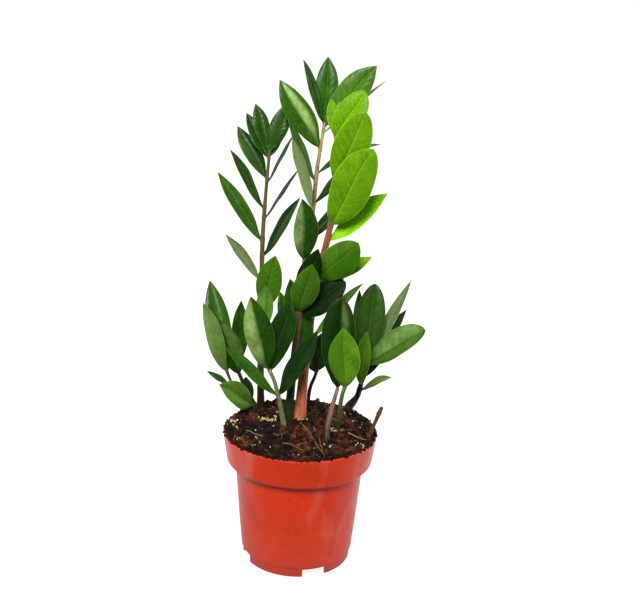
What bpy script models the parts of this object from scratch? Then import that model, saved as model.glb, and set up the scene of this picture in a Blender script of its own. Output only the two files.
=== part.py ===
"""Potted ZZ plant: a tapered nursery pot filled with potting mix, and ten leafy shoots.

The pot stands on Z = 0. Its axis is at POT_AXIS, so that the origin is under the middle of the
whole plant. Heights and routes below are in millimetres above the surface the pot stands on,
measured from the pot's axis. Every shoot is one stem with its leaves, each leaf its own solid.
"""

from math import cos, pi, radians, sin, tan

import bmesh
import bpy
from mathutils import Matrix, Vector

MM = 0.001
PLANT_NAME = "potted_zz_plant"
POT_AXIS = (-7.2, 0)

# Pot: a thin injection-moulded nursery pot, 12 cm class.
LIP_RADIUS = 58.5
LIP_HEIGHT = 101.5
BAND_RADIUS = 55.6
BAND_HEIGHT = 82.0
BODY_TOP_RADIUS = 48.5
BODY_TOP_HEIGHT = 73.6
BODY_FOOT_RADIUS = 42.7
FOOT_RADIUS = 41.3
FOOT_HEIGHT = 7.4
WALL = 1.6
POT_STEPS = 64
FOOT_NOTCHES = 4
FOOT_NOTCH_WIDTH = 18.0
FOOT_NOTCH_HEIGHT = 6.2
FIRST_NOTCH_BEARING = -69.0
DRAIN_HOLES = 6
DRAIN_RADIUS = 4.5
DRAIN_CIRCLE = 27.0
DRAIN_SIDES = 16

# Potting mix: fills the pot to its lip, with a lumpy top.
GAP = 0.3
SOIL_TOP = 102.0
SOIL_RINGS = 7
SOIL_STEPS = 40
LUMP_HEIGHT = 1.3
SOCKET_DEPTH = 14.0
SOCKET_SIDES = 16

# Stems: name, foot radius, tip radius, and the route of the axis as (x, y, z).
STEMS = {
    "tall_left": (3.0, 1.0, (
        (-33, 37, 105), (-34, 35, 156), (-34, 30, 202), (-34, 26, 241),
        (-32, 22, 280), (-30, 19, 309),
    )),
    "tall_back": (3.4, 1.1, (
        (-10, 12, 105), (-7, 10, 153), (-4, 10, 197), (-1, 11, 234),
        (3, 14, 271), (5, 17, 300), (9, 20, 331),
    )),
    "lime": (4.2, 1.2, (
        (-1, 16, 105), (1, 17, 148), (5, 18, 191), (9, 16, 221),
        (15, 12, 250), (18, 7, 277), (18, 3, 302), (17, 0, 326),
    )),
    "front": (1.9, 1.3, (
        (-13, 2, 105), (-16, -1, 121), (-18, -3, 131), (-21, -6, 143),
        (-25, -9, 152),
    )),
    "left_outer": (1.6, 1.0, (
        (-45, 24, 105), (-52, 24, 118), (-55, 21, 129), (-59, 19, 140),
    )),
    "left_inner": (2.4, 1.1, (
        (-37, 29, 105), (-42, 32, 115), (-47, 29, 127), (-52, 24, 142),
    )),
    "right_brown": (2.2, 1.3, (
        (20, -27, 105), (20, -23, 114), (22, -17, 123), (25, -10, 133),
        (27, -5, 139),
    )),
    "right_green": (1.9, 1.5, (
        (28, -6, 105), (29, -10, 124), (30, -13, 135), (32, -15, 144),
    )),
    "right_dark": (2.6, 1.2, (
        (35, 35, 105), (43, 41, 113), (45, 39, 121), (47, 36, 134),
        (49, 33, 148),
    )),
    "centre_back": (1.7, 1.3, (
        (4, 48, 105), (6, 49, 118), (9, 47, 127), (11, 45, 135),
    )),
}
STEM_SPAN_POINTS = 3
TWIG_RADIUS = 2.0
TWIG_ROUTE = ((50, -14, 105), (54, -14, 113), (60, -13, 126))

# Blade habits: arch and fold in degrees, and how blunt the tip is (smaller is rounder).
HABITS = {
    "flat": (10, 5, 0.8),
    "straight": (4, 2, 0.8),
    "trough": (15, 18, 0.8),
    "cupped": (15, 28, 0.8),
    "blunt": (14, 6, 0.55),
    "blunt_trough": (12, 22, 0.5),
    "curved": (38, 6, 0.8),
}
BASE_ROUNDNESS = 0.62
BLADE_THICKNESS = 0.8
BLADE_SEGMENTS = 8
STALK_HALF_WIDTH = 0.9
TIP_HALF_WIDTH = 0.35
LEAF_STANDOFF = 0.8

# Leaves of each stem from its tip down: height of the joint, the side of the stem it is on, the
# bearing it points to (both counted from +X), lift above level, length, width, roll, and habit.
LEAVES = {
    "tall_left": (
        (309, 30, 30, 72, 34, 14, 60, "flat"),
        (309, 145, 145, 69, 34, 12, -35, "flat"),
        (304, 150, 150, 58, 35, 12, -30, "flat"),
        (289, 155, 155, 56, 42, 14, -35, "flat"),
        (286, 20, 20, 63, 38, 10, -5, "straight"),
        (266, 165, 165, 58, 48, 11, -20, "flat"),
        (259, 10, 10, 58, 42, 12, 0, "straight"),
        (241, 165, 165, 55, 59, 14, -30, "flat"),
        (229, 25, 25, 58, 51, 14, 10, "flat"),
        (210, 225, 225, 50, 51, 12, 15, "flat"),
    ),
    "tall_back": (
        (330, 200, 200, 70, 46, 11, -55, "flat"),
        (330, 90, 85, 82, 46, 17, 5, "flat"),
        (329, 300, 355, 51, 54, 22, 85, "flat"),
        (324, 20, 25, 38, 58, 11, -10, "straight"),
        (313, 190, 190, 58, 54, 19, -90, "trough"),
        (295, 25, 25, 22, 52, 13, 10, "curved"),
        (289, 210, 210, 64, 50, 11, -60, "straight"),
        (273, 30, 30, 41, 54, 14, 5, "flat"),
        (269, 235, 235, 64, 58, 13, -10, "flat"),
        (232, 250, 255, 78, 47, 21, -140, "cupped"),
        (200, 280, 310, 68, 47, 18, 120, "flat"),
        (192, 270, 295, 64, 46, 20, 150, "flat"),
        (189, 340, 0, 42, 41, 20, 65, "blunt"),
    ),
    "lime": (
        (322, 270, 355, 60, 37, 20, 80, "blunt"),
        (322, 100, 125, 74, 27, 10, -15, "flat"),
        (291, 285, 320, 65, 55, 25, 120, "blunt"),
        (259, 275, 320, 59, 67, 29, 115, "blunt"),
        (246, 20, 5, 42, 53, 18, 45, "flat"),
        (217, 285, 335, 45, 43, 24, 95, "blunt"),
        (212, 350, 5, 30, 43, 15, 35, "flat"),
    ),
    "front": (
        (152, 225, 200, 77, 58, 22, -95, "trough"),
        (151, 40, 20, 76, 55, 20, 55, "flat"),
        (130, 190, 190, 45, 53, 12, -40, "flat"),
        (130, 320, 345, 63, 60, 16, 65, "flat"),
    ),
    "left_outer": (
        (138, 100, 125, 66, 72, 19, -15, "flat"),
        (139, 250, 230, 68, 64, 13, -115, "flat"),
    ),
    "left_inner": (
        (141, 80, 65, 85, 52, 14, 50, "flat"),
        (135, 270, 215, 69, 50, 19, -110, "flat"),
        (109, 265, 230, 36, 44, 19, -80, "trough"),
    ),
    "right_brown": (
        (139, 90, 260, 88, 69, 27, 175, "blunt_trough"),
    ),
    "right_green": (
        (143, 270, 230, 84, 47, 23, -140, "flat"),
    ),
    "right_dark": (
        (147, 100, 55, 83, 61, 23, 25, "blunt"),
        (146, 315, 340, 37, 55, 25, 50, "blunt_trough"),
        (138, 30, 20, 65, 79, 13, 15, "flat"),
        (132, 0, 10, 62, 63, 15, 25, "flat"),
        (121, 340, 345, 32, 26, 11, 20, "curved"),
    ),
    "centre_back": (
        (134, 270, 345, 79, 35, 18, 90, "flat"),
    ),
}

# Colour (linear RGB) and roughness of each material; nothing here is metal.
FINISHES = {
    "pot": ((0.62, 0.06, 0.02), 0.4),
    "soil": ((0.03, 0.014, 0.008), 0.95),
    "twig": ((0.09, 0.04, 0.02), 0.9),
    "stem_olive": ((0.16, 0.17, 0.05), 0.5),
    "stem_orange": ((0.42, 0.11, 0.04), 0.45),
    "leaf_dark": ((0.02, 0.09, 0.01), 0.25),
    "leaf_lime": ((0.17, 0.40, 0.01), 0.35),
}


def material(name):
    colour, roughness = FINISHES[name]
    made = bpy.data.materials.get(name) or bpy.data.materials.new(name)
    made.use_nodes = True
    shader = made.node_tree.nodes["Principled BSDF"]
    shader.inputs["Base Color"].default_value = (*colour, 1)
    shader.inputs["Roughness"].default_value = roughness
    shader.inputs["Metallic"].default_value = 0
    return made


def clear_scene():
    for thing in list(bpy.data.objects):
        bpy.data.objects.remove(thing, do_unlink=True)


def collection(name):
    made = bpy.data.collections.new(name)
    bpy.context.scene.collection.children.link(made)
    return made


def add_object(name, data, where, finish=None, parent=None):
    made = bpy.data.objects.new(name, data)
    where.objects.link(made)
    if finish:
        data.materials.append(material(finish))
    if parent:
        made.parent = parent
    return made


def add_cutter(name, mesh, where, parent):
    made = add_object(name, mesh, where, parent=parent)
    made.hide_render = True
    made.display_type = "WIRE"
    return made


def cut(target, cutter):
    step = target.modifiers.new(cutter.name, "BOOLEAN")
    step.operation = "DIFFERENCE"
    step.object = cutter


def turned(name, profile, steps, where, finish, parent):
    """A solid of revolution about its own Z; the profile's outer side runs from top to bottom."""
    mesh = bpy.data.meshes.new(name)
    points = [(radius * MM, 0, height * MM) for radius, height in profile]
    mesh.from_pydata(points, [(i, i + 1) for i in range(len(points) - 1)], [])
    made = add_object(name, mesh, where, finish, parent)
    screw = made.modifiers.new("turn", "SCREW")
    screw.steps = screw.render_steps = steps
    screw.use_merge_vertices = True
    screw.merge_threshold = 0.00005
    screw.use_smooth_shade = True
    return made


def pot_profile():
    """From the middle of the floor out and up the inside, over the lip, down and back under."""
    inner_lip = LIP_RADIUS - WALL
    floor = FOOT_HEIGHT - 0.4
    return (
        (0, floor + WALL),
        (BODY_FOOT_RADIUS - WALL - 1.5, floor + WALL),
        (BODY_FOOT_RADIUS - WALL, floor + WALL + 1.5),
        (BODY_TOP_RADIUS - WALL, BODY_TOP_HEIGHT + 1.2),
        (BODY_TOP_RADIUS - WALL + 0.5, BODY_TOP_HEIGHT + 3.2),
        (BODY_TOP_RADIUS - WALL + 2.0, BODY_TOP_HEIGHT + 4.8),
        (BAND_RADIUS - WALL - 1.3, BAND_HEIGHT - 2.2),
        (BAND_RADIUS - WALL, BAND_HEIGHT + 1.2),
        (inner_lip, LIP_HEIGHT - 0.5),
        (inner_lip + 0.5, LIP_HEIGHT),
        (LIP_RADIUS - 0.5, LIP_HEIGHT),
        (LIP_RADIUS, LIP_HEIGHT - 0.6),
        (BAND_RADIUS, BAND_HEIGHT),
        (BAND_RADIUS - 0.5, BAND_HEIGHT - 2.3),
        (BAND_RADIUS - 1.3, BAND_HEIGHT - 3.4),
        (BODY_TOP_RADIUS + 1.2, BODY_TOP_HEIGHT + 3.4),
        (BODY_TOP_RADIUS + 0.3, BODY_TOP_HEIGHT + 2.0),
        (BODY_TOP_RADIUS, BODY_TOP_HEIGHT),
        (BODY_FOOT_RADIUS, FOOT_HEIGHT + 0.9),
        (BODY_FOOT_RADIUS - 0.8, FOOT_HEIGHT),
        (FOOT_RADIUS + 0.2, FOOT_HEIGHT - 0.6),
        (FOOT_RADIUS, 0),
        (FOOT_RADIUS - 2.4, 0),
        (FOOT_RADIUS - 2.2, floor),
        (0, floor),
    )


def notch_mesh():
    """Boxes across the foot ring, every quarter turn, that leave it standing on four feet."""
    shape = bmesh.new()
    depth = 8.0
    for index in range(FOOT_NOTCHES):
        bearing = radians(FIRST_NOTCH_BEARING + index * 360 / FOOT_NOTCHES)
        place = Matrix.Rotation(bearing, 4, "Z") @ Matrix.Translation(
            (FOOT_RADIUS * MM, 0, (FOOT_NOTCH_HEIGHT - depth / 2) * MM))
        size = Matrix.Diagonal((depth * MM, FOOT_NOTCH_WIDTH * MM, depth * MM, 1))
        bmesh.ops.create_cube(shape, size=1, matrix=place @ size)
    return to_mesh("foot_notches", shape)


def drain_mesh():
    shape = bmesh.new()
    for index in range(DRAIN_HOLES):
        turn = 2 * pi * index / DRAIN_HOLES
        at = Matrix.Translation((DRAIN_CIRCLE * MM * cos(turn), DRAIN_CIRCLE * MM * sin(turn),
                                 FOOT_HEIGHT * MM))
        bmesh.ops.create_cone(shape, cap_ends=True, segments=DRAIN_SIDES, depth=8 * MM,
                              radius1=DRAIN_RADIUS * MM, radius2=DRAIN_RADIUS * MM, matrix=at)
    return to_mesh("drain_holes", shape)


def to_mesh(name, shape):
    mesh = bpy.data.meshes.new(name)
    shape.to_mesh(mesh)
    shape.free()
    return mesh


def build_pot(where, cutters, root):
    pot = turned("pot", pot_profile(), POT_STEPS, where, "pot", root)
    cut(pot, add_cutter("foot_notches", notch_mesh(), cutters, root))
    cut(pot, add_cutter("drain_holes", drain_mesh(), cutters, root))
    return pot


def soil_profile():
    """The mix follows the inside of the pot, a gap away from it, and is level at the lip."""
    inside = pot_profile()[1:9]
    wall = [(radius - GAP * 1.2, height + GAP) for radius, height in inside]
    wall[-1] = (wall[-1][0], LIP_HEIGHT - 0.5)
    edge = wall[-1][0] - 0.6
    top = [(edge * ring / SOIL_RINGS, SOIL_TOP) for ring in range(SOIL_RINGS + 1)]
    return tuple(top + list(reversed(wall)) + [(0, wall[0][1])])


def lump(x, y):
    """Height of the lumpy surface above its mean, from a few crossing waves."""
    return LUMP_HEIGHT * (0.5 * sin(0.19 * x + 1.3) * cos(0.23 * y - 0.4)
                          + 0.3 * sin(0.41 * x - 0.33 * y) + 0.2 * cos(0.55 * y + 0.2 * x))


def build_soil(where, cutters, root):
    soil = turned("soil", soil_profile(), SOIL_STEPS, where, "soil", root)
    soil.data = bpy.data.meshes.new_from_object(
        soil.evaluated_get(bpy.context.evaluated_depsgraph_get()))
    soil.modifiers.clear()
    for vertex in soil.data.vertices:
        if vertex.co.z > (SOIL_TOP - 0.1) * MM:
            vertex.co.z += lump(vertex.co.x / MM, vertex.co.y / MM) * MM
    cut(soil, add_cutter("stem_sockets", socket_mesh(), cutters, root))
    return soil


def socket_mesh():
    """An upright hole for the foot of every stem and of the dead twig."""
    shape = bmesh.new()
    feet = [(route[0], radius) for radius, tip, route in STEMS.values()]
    feet.append((TWIG_ROUTE[0], TWIG_RADIUS))
    bottom = SOIL_TOP - SOCKET_DEPTH - GAP
    height = SOCKET_DEPTH * 2
    for (x, y, z), radius in feet:
        at = Matrix.Translation((x * MM, y * MM, (bottom + height / 2) * MM))
        bmesh.ops.create_cone(shape, cap_ends=True, segments=SOCKET_SIDES, depth=height * MM,
                              radius1=(radius + GAP * 1.4) * MM, radius2=(radius + GAP * 1.4) * MM,
                              matrix=at)
    return to_mesh("stem_sockets", shape)


def smooth_route(points):
    """Points along a smooth curve through the given ones (Catmull-Rom), in millimetres."""
    knots = [Vector(point) for point in points]
    path = []
    for index in range(len(knots) - 1):
        before = knots[max(index - 1, 0)]
        start, end = knots[index], knots[index + 1]
        after = knots[min(index + 2, len(knots) - 1)]
        for step in range(STEM_SPAN_POINTS):
            t = step / STEM_SPAN_POINTS
            path.append(0.5 * (2 * start + (end - before) * t
                               + (2 * before - 5 * start + 4 * end - after) * t ** 2
                               + (3 * start - before - 3 * end + after) * t ** 3))
    return path + [knots[-1]]


def point_on(path, height):
    """The point at this height on a path whose points climb."""
    for low, high in zip(path, path[1:]):
        if height <= high.z:
            share = (height - low.z) / (high.z - low.z)
            return low.lerp(high, share)
    return path[-1].copy()


def radius_at(path, foot_radius, tip_radius, height):
    share = (height - path[0].z) / (path[-1].z - path[0].z)
    return foot_radius + (tip_radius - foot_radius) * share


def build_stem(name, foot_radius, tip_radius, route, where, finish, root):
    """A tapering round stem whose origin is where it leaves the soil, with its foot in the mix."""
    path = smooth_route(route)
    curve = bpy.data.curves.new(name, "CURVE")
    curve.dimensions = "3D"
    curve.bevel_depth = MM
    curve.bevel_resolution = 2
    curve.use_fill_caps = True
    spline = curve.splines.new("POLY")
    foot = Vector((path[0].x, path[0].y, SOIL_TOP - SOCKET_DEPTH))
    points = [foot] + path
    spline.points.add(len(points) - 1)
    for slot, point in zip(spline.points, points):
        slot.co = (*((point - path[0]) * MM), 1)
        slot.radius = radius_at(path, foot_radius, tip_radius, max(point.z, path[0].z))
    stem = add_object(name, curve, where, finish, root)
    stem.location = path[0] * MM
    return stem


def half_width(t, width, bluntness):
    """Half the blade's width a share t of the way from its stalk to its tip."""
    peak = BASE_ROUNDNESS / (BASE_ROUNDNESS + bluntness)
    widest = peak ** BASE_ROUNDNESS * (1 - peak) ** bluntness
    outline = width / 2 * t ** BASE_ROUNDNESS * (1 - t) ** bluntness / widest
    return max(outline, STALK_HALF_WIDTH * (1 - t) + TIP_HALF_WIDTH * t)


def blade_mesh(name, length, width, habit):
    """A blade along +X with its upper face to +Z, arched along its length and folded across it."""
    arch, fold, bluntness = HABITS[habit]
    rise = length / 2 * tan(radians(arch) / 4)
    shape = bmesh.new()
    bmesh.ops.create_grid(shape, x_segments=BLADE_SEGMENTS, y_segments=2, size=1)
    for vertex in shape.verts:
        t = (vertex.co.x + 1) / 2
        side = vertex.co.y
        reach = half_width(t, width, bluntness)
        vertex.co = Vector((length * t,
                            side * reach * cos(radians(fold)),
                            rise * 4 * t * (1 - t) + abs(side) * reach * sin(radians(fold)))) * MM
    return to_mesh(name, shape)


def blade_rotation(bearing, lift, roll):
    """Turns +X to the leaf's direction, +Z to the upper face, then rolls it about its length."""
    level = Vector((cos(radians(bearing)), sin(radians(bearing)), 0))
    along = level * cos(radians(lift)) + Vector((0, 0, sin(radians(lift))))
    upper = Vector((0, 0, cos(radians(lift)))) - level * sin(radians(lift))
    upper.rotate(Matrix.Rotation(radians(roll), 3, along))
    across = upper.cross(along)
    return Matrix((along, across, upper)).transposed()


def build_leaf(name, stem, leaf, where, finish, parent):
    """A folded, arched blade whose stalk ends a hair's breadth off the side of its stem."""
    foot_radius, tip_radius, route = stem
    height, side, bearing, lift, length, width, roll, habit = leaf
    path = smooth_route(route)
    centre = point_on(path, height)
    outward = Vector((cos(radians(side)), sin(radians(side)), 0))
    standoff = radius_at(path, foot_radius, tip_radius, height) + LEAF_STANDOFF
    blade = add_object(name, blade_mesh(name, length, width, habit), where, finish, parent)
    blade.location = (centre + outward * standoff - path[0]) * MM
    blade.rotation_euler = blade_rotation(bearing, lift, roll).to_euler()
    thick = blade.modifiers.new("thickness", "SOLIDIFY")
    thick.thickness = BLADE_THICKNESS * MM
    thick.offset = 0
    return blade


def build_shoot(name, where, root):
    """One stem and its leaves, which are parented to it."""
    foot_radius, tip_radius, route = STEMS[name]
    stem_finish = "stem_orange" if name == "lime" else "stem_olive"
    leaf_finish = "leaf_lime" if name == "lime" else "leaf_dark"
    stem = build_stem("stem_" + name, foot_radius, tip_radius, route, where, stem_finish, root)
    for number, leaf in enumerate(LEAVES[name], start=1):
        build_leaf(f"leaf_{name}_{number:02d}", STEMS[name], leaf, where, leaf_finish, stem)


def main():
    clear_scene()
    plant = collection(PLANT_NAME)
    cutters = collection("cutters")
    cutters.hide_render = True
    root = add_object("pot_axis", None, plant)
    root.location = (POT_AXIS[0] * MM, POT_AXIS[1] * MM, 0)
    build_pot(plant, cutters, root)
    build_soil(plant, cutters, root)
    for name in STEMS:
        build_shoot(name, plant, root)
    build_stem("dead_twig", TWIG_RADIUS, TWIG_RADIUS, TWIG_ROUTE, plant, "twig", root)


main()
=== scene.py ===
"""A ZZ plant in a plastic nursery pot: ten shoots of glossy leaflets growing out of potting mix.

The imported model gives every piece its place. The pot, the mix, the twig, the stems and the leaves
are then modelled again in finer detail, each where its own solid lies. The small leaves and the
loose bits on the mix have no solid.
"""

import random
from math import atan2, cos, pi, radians, sin

import bpy
import numpy as np
from mathutils import Matrix, Vector, noise


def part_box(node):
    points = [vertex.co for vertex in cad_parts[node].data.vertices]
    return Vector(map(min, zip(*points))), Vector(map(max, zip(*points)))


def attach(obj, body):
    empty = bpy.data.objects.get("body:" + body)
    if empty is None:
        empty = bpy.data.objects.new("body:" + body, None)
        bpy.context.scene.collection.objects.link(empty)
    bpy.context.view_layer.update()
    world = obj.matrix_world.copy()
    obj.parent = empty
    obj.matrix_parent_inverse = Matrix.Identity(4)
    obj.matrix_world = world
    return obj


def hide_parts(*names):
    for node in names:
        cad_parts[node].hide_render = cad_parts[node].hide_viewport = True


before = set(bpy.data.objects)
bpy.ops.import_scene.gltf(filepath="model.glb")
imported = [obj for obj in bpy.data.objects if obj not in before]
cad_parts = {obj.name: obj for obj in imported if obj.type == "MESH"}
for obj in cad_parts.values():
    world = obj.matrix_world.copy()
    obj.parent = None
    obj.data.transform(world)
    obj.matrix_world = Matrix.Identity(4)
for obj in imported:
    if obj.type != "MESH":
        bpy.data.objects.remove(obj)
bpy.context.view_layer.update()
bpy.ops.object.select_all(action="DESELECT")

# ---------------------------------------------------------------------------------------------
# The studio: a pale floor under soft white light, with the main lamp high in front and a little to
# the left, as a plant is set up for a catalogue. The camera stands just higher than the plant's top.

pot_low, pot_high = (Vector(corner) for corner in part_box("pot"))
pot_middle = Vector(((pot_low.x + pot_high.x) / 2, (pot_low.y + pot_high.y) / 2, 0))

camera = bpy.data.objects.new("camera", bpy.data.cameras.new("camera"))
bpy.context.scene.collection.objects.link(camera)
bpy.context.scene.camera = camera
camera.data.lens = 53.44
camera.data.sensor_width = 36
camera.data.clip_start = 0.01
pitch = radians(15.7)
sideways = Vector((1, 0, 0))
upward = Vector((0, sin(pitch), cos(pitch)))
backward = Vector((0, -cos(pitch), sin(pitch)))
lean = radians(2.4)
right = sideways * cos(lean) + upward * sin(lean)
over = upward * cos(lean) - sideways * sin(lean)
camera.matrix_world = Matrix.LocRotScale(
    pot_middle + Vector((0.011, -0.67, 0.387)),
    Matrix((right, over, backward)).transposed(), None)


def put(tree, kind, values=(), **settings):
    """Adds a node, sets its options, and gives each input a value or a link."""
    made = tree.nodes.new("ShaderNode" + kind)
    for name, setting in settings.items():
        setattr(made, name, setting)
    for name, value in dict(values).items():
        if isinstance(value, bpy.types.NodeSocket):
            tree.links.new(value, made.inputs[name])
        else:
            made.inputs[name].default_value = value
    return made


def ranged(tree, value, start, end, low=0.0, high=1.0):
    """A value between start and end, mapped to between low and high and held at both."""
    return put(tree, "MapRange", {"Value": value, "From Min": start, "From Max": end,
                                  "To Min": low, "To Max": high}).outputs["Result"]


def new_material(name, finish):
    """A material whose shader takes the plain values in finish."""
    made = bpy.data.materials.new(name)
    made.use_nodes = True
    shader = made.node_tree.nodes["Principled BSDF"]
    for socket, value in finish.items():
        shader.inputs[socket].default_value = value
    return made, made.node_tree, shader


bpy.ops.mesh.primitive_circle_add(vertices=64, radius=4, fill_type="NGON", location=(0, 0, 0))
floor = bpy.context.object
floor.name = "studio_floor"
paper, tree, shader = new_material("studio_paper", {
    "Base Color": (0.15, 0.15, 0.15, 1), "Roughness": 0.9, "Specular IOR Level": 0.0,
    "Emission Color": (1, 1, 1, 1)})
place = put(tree, "TexCoord").outputs["Object"]
reach = put(tree, "VectorMath", {0: place}, operation="LENGTH").outputs["Value"]
depth = put(tree, "SeparateXYZ", {"Vector": place}).outputs["Y"]
for_lens = ranged(tree, reach, 0.05, 0.22, 0.86, 1.10)
for_plant = ranged(tree, depth, -0.10, 0.22, 0.03, 1.70)
seen = put(tree, "LightPath").outputs["Is Camera Ray"]
tree.links.new(ranged(tree, seen, 0, 1, for_plant, for_lens), shader.inputs["Emission Strength"])
floor.data.materials.append(paper)

world = bpy.data.worlds.new("studio_air")
world.use_nodes = True
bpy.context.scene.world = world
air = world.node_tree
sky = air.nodes["Background"]
sky.inputs["Color"].default_value = (1, 1, 1, 1)
facing = put(air, "TexCoord").outputs["Generated"]
depth = put(air, "SeparateXYZ", {"Vector": facing}).outputs["Y"]
seen = put(air, "LightPath").outputs["Is Camera Ray"]
air.links.new(ranged(air, seen, 0, 1, ranged(air, depth, 0.0, 0.8, 0.05, 0.85), 1.05),
              sky.inputs["Strength"])
bpy.context.scene.view_settings.view_transform = "Standard"


def softbox(name, place, aim, size, power):
    """A rectangular lamp at a place, turned to face its aim."""
    lamp = bpy.data.objects.new(name, bpy.data.lights.new(name, "AREA"))
    bpy.context.scene.collection.objects.link(lamp)
    lamp.data.shape = "RECTANGLE"
    lamp.data.size, lamp.data.size_y = size
    lamp.data.energy = power
    lamp.location = place
    lamp.rotation_euler = (Vector(aim) - Vector(place)).to_track_quat("-Z", "Y").to_euler()


softbox("key_lamp", (-0.20, -1.05, 1.05), (0, 0, 0.15), (0.5, 0.5), 28)
softbox("left_lamp", (-1.15, -0.3, 0.5), (0, 0, 0.2), (0.7, 1.0), 2.5)
softbox("right_lamp", (1.15, 0.0, 0.5), (0, 0, 0.2), (0.8, 1.1), 9)
softbox("back_lamp", (0.1, 0.8, 1.2), (0, 0, 0.2), (1.0, 0.7), 8)

# ---------------------------------------------------------------------------------------------
# The pot: orange-red polypropylene, injection moulded in one piece with a wide straight band
# under its lip, a ledge, a tapered body and a foot ring that is notched to let water out.

POT_TURN = 128
# Radius and height in millimetres: up the outside, over the lip, down the inside and in to the floor.
POT_OUTSIDE = (
    (38.9, 0.0), (40.9, 0.0), (41.3, 0.5), (41.5, 6.6), (41.9, 7.3), (42.5, 7.6), (42.75, 8.3),
    (43.0, 11.0), (45.0, 32.0), (47.2, 58.0), (48.5, 73.6), (48.8, 75.6), (49.7, 77.0),
    (52.6, 77.9), (54.3, 78.6), (55.0, 79.5), (55.3, 80.4), (55.6, 82.0), (57.0, 91.0),
    (58.2, 99.6), (58.45, 100.9), (58.2, 101.4), (57.7, 101.5), (57.1, 101.4), (56.8, 100.9),
    (55.3, 88.0), (54.1, 82.4), (52.6, 80.4), (48.4, 78.8), (47.4, 77.0), (47.0, 73.0),
    (41.1, 10.2), (39.6, 8.6), (0.8, 8.6),
)
POT_UNDERSIDE = ((38.9, 0.0), (39.1, 7.0), (38.6, 7.0), (0.8, 7.0))
NOTCH_BEARINGS = (-69, 21, 111, 201)
HOLE_BEARINGS = (0, 60, 120, 180, 240, 300)


def turned_shell(name, profile, steps):
    """A round wall: a ring of points drawn out and resized from each profile point to the next."""
    first = profile[0]
    bpy.ops.mesh.primitive_circle_add(vertices=steps, radius=first[0] / 1000,
                                      location=pot_middle + Vector((0, 0, first[1] / 1000)))
    shell = bpy.context.object
    shell.name = name
    bpy.ops.object.transform_apply(location=True, rotation=True, scale=True)
    bpy.ops.object.mode_set(mode="EDIT")
    for (before, low), (after, high) in zip(profile, profile[1:]):
        bpy.ops.mesh.extrude_region_move(
            TRANSFORM_OT_translate={"value": (0, 0, (high - low) / 1000)})
        ratio = after / before
        bpy.ops.transform.resize(value=(ratio, ratio, 1), center_override=pot_middle)
    return shell


def close_and_face_out(gap=0.00002):
    """Welds the active piece's open seams and points its faces outwards."""
    bpy.ops.object.mode_set(mode="EDIT")
    bpy.ops.mesh.select_all(action="SELECT")
    bpy.ops.mesh.remove_doubles(threshold=gap)
    bpy.ops.mesh.normals_make_consistent(inside=False)
    bpy.ops.object.mode_set(mode="OBJECT")


pot = turned_shell("nursery_pot", POT_OUTSIDE, POT_TURN)
bpy.ops.mesh.edge_face_add()
bpy.ops.object.mode_set(mode="OBJECT")
underside = turned_shell("pot_underside", POT_UNDERSIDE, POT_TURN)
bpy.ops.mesh.edge_face_add()
bpy.ops.object.mode_set(mode="OBJECT")
pot.select_set(True)
bpy.context.view_layer.objects.active = pot
bpy.ops.object.join()
close_and_face_out()
cutters = []
for bearing in NOTCH_BEARINGS:
    turn = radians(bearing)
    bpy.ops.mesh.primitive_cube_add(
        size=0.001, rotation=(0, 0, turn),
        location=pot_middle + Vector((0.0405 * cos(turn), 0.0405 * sin(turn), 0.0022)))
    bpy.context.object.scale = (8, 18, 8)
    cutters.append(bpy.context.object)
for bearing in HOLE_BEARINGS:
    turn = radians(bearing)
    bpy.ops.mesh.primitive_cylinder_add(
        vertices=32, radius=0.0045, depth=0.008,
        location=pot_middle + Vector((0.027 * cos(turn), 0.027 * sin(turn), 0.0074)))
    cutters.append(bpy.context.object)
for cutter in cutters:
    cutter.select_set(True)
bpy.context.view_layer.objects.active = cutters[0]
bpy.ops.object.join()
notches = bpy.context.object
bpy.context.view_layer.objects.active = pot
opening = pot.modifiers.new("openings", "BOOLEAN")
opening.operation = "DIFFERENCE"
opening.object = notches
bpy.ops.object.modifier_apply(modifier=opening.name)
bpy.data.objects.remove(notches)
bpy.ops.object.select_all(action="DESELECT")
pot.select_set(True)
bpy.ops.object.shade_smooth_by_angle(angle=radians(38))


def blend_colours(tree, share, first, second, way="MIX"):
    """The first colour with a share of the second laid over it."""
    mixed = put(tree, "Mix", data_type="RGBA", blend_type=way)
    for slot, value in zip((0, 6, 7), (share, first, second)):
        if isinstance(value, bpy.types.NodeSocket):
            tree.links.new(value, mixed.inputs[slot])
        else:
            mixed.inputs[slot].default_value = value
    return mixed.outputs[2]


def steps_of(tree, value, stops):
    """A colour ramp over a value."""
    ramp = put(tree, "ValToRGB", {"Fac": value})
    points = ramp.color_ramp.elements
    while len(points) < len(stops):
        points.new(0.5)
    for point, (place, colour) in zip(points, stops):
        point.position = place
        point.color = (*colour, 1)
    return ramp.outputs["Color"]


def noise_of(tree, place, scale, detail=2, rough=0.5, warp=0.0):
    return put(tree, "TexNoise", {"Vector": place, "Scale": scale, "Detail": detail,
                                  "Roughness": rough, "Distortion": warp}).outputs["Fac"]


def stretched(tree, place, scale):
    """The place with each axis scaled, so that a pattern on it is drawn out along the smallest."""
    return put(tree, "Mapping", {"Vector": place, "Scale": scale}).outputs["Vector"]


def maths(tree, operation, *values):
    return put(tree, "Math", dict(enumerate(values)), operation=operation).outputs[0]


def relief(tree, shader_input, height, strength, distance):
    """Turns a height into the small bumps that an input takes as its normal."""
    bump = put(tree, "Bump", {"Height": height, "Strength": strength, "Distance": distance})
    tree.links.new(bump.outputs["Normal"], shader_input)


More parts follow.
